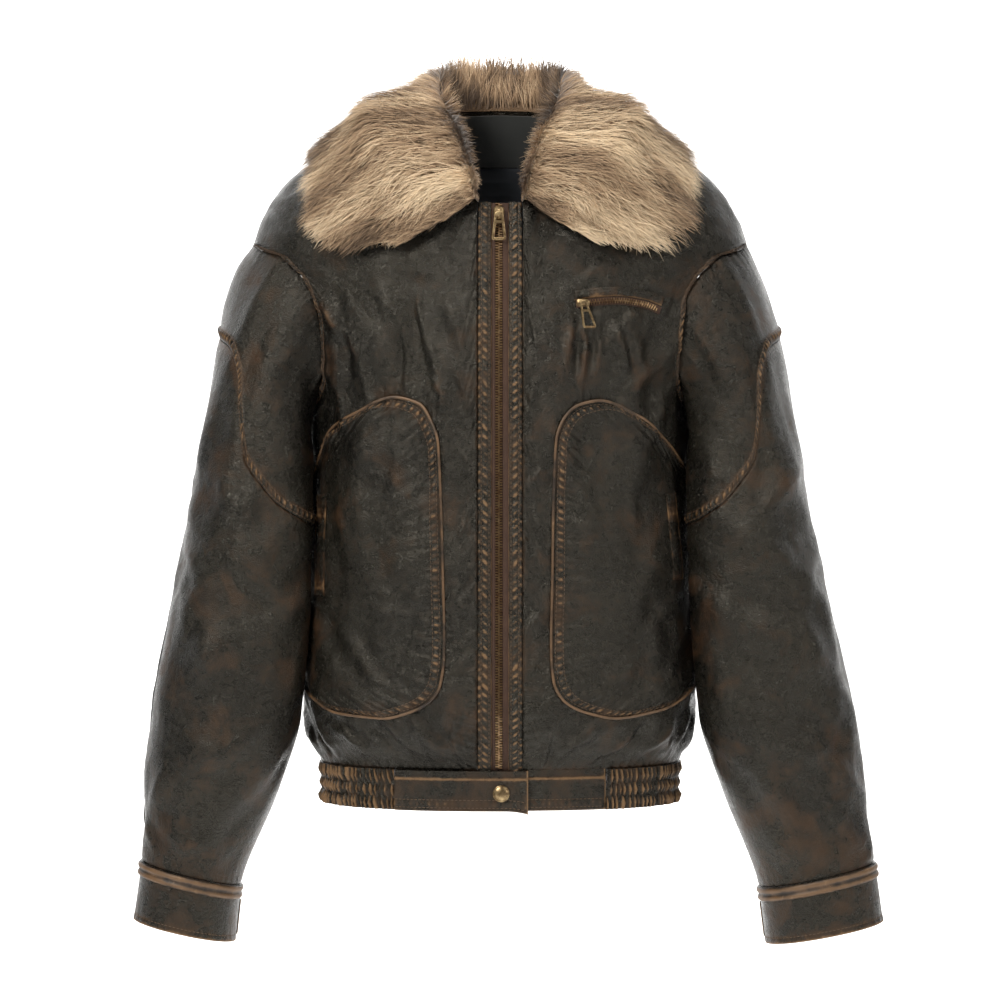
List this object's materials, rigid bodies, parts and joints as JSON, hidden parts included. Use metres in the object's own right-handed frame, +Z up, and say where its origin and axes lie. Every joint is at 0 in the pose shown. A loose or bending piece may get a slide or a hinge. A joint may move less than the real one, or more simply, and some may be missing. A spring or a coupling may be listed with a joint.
{
  "type": "leather bomber jacket with fur collar",
  "caption": "Boxy distressed leather jacket, zipped up and filled out with no wearer, with a wide fur collar, rounded side panels, gathered hem and open cuffs.",
  "frame": {"origin": "middle of the neck base, level with the shoulder ridge, where the shoulders carry the jacket", "axes": "+Z up, -Y out of the zipped front, +X to the wearer's left"},
  "size_m": [0.6622, 0.2762, 0.7981],
  "materials": {
    "leather": "distressed satin",
    "worn_leather": "rubbed edge",
    "antique_brass": "antique",
    "fur": "long pile",
    "zip_tape": "woven tape",
    "lining": "quilted"
  },
  "bodies": {
    "jacket": {"back": "leather", "front_left": "leather", "front_right": "leather", "side_panel_left": "leather", "side_panel_right": "leather", "placket_left": "leather", "placket_right": "leather", "sleeve_cap_left": "leather", "sleeve_cap_right": "leather", "sleeve_left": "leather", "sleeve_right": "leather", "cuff_left": "leather", "cuff_right": "leather", "cuff_tab_left": "leather", "cuff_tab_right": "leather", "band_front_left": "leather", "band_front_right": "leather", "hem_elastic": "leather", "under_collar": "leather", "panel_piping_left": "worn_leather", "panel_piping_right": "worn_leather", "cuff_trim_left": "worn_leather", "cuff_trim_right": "worn_leather", "chest_pocket_welt": "worn_leather", "hand_pocket_welt_left": "worn_leather", "hand_pocket_welt_right": "worn_leather", "zip_chain": "antique_brass", "zip_slider": "antique_brass", "chest_pocket_zip": "antique_brass", "pocket_slider": "antique_brass", "snap_cap": "antique_brass", "collar_fur": "fur", "zip_tape": "zip_tape", "back_neck_facing": "lining", "lining_back": "lining"},
    "zip_pull": {"zip_pull": "antique_brass"},
    "pocket_pull": {"pocket_pull": "antique_brass"}
  },
  "joints": [
    {"name": "zip_pull_swing", "type": "hinge", "parent": "jacket", "child": "zip_pull", "pos_m": [-0.001, -0.1132, -0.084], "axis": [-1, 0, 0], "range_deg": [0, 150]},
    {"name": "pocket_pull_swing", "type": "hinge", "parent": "jacket", "child": "pocket_pull", "pos_m": [0.072, -0.12057, -0.1615], "axis": [-1, 0, 0], "range_deg": [0, 150]}
  ]
}
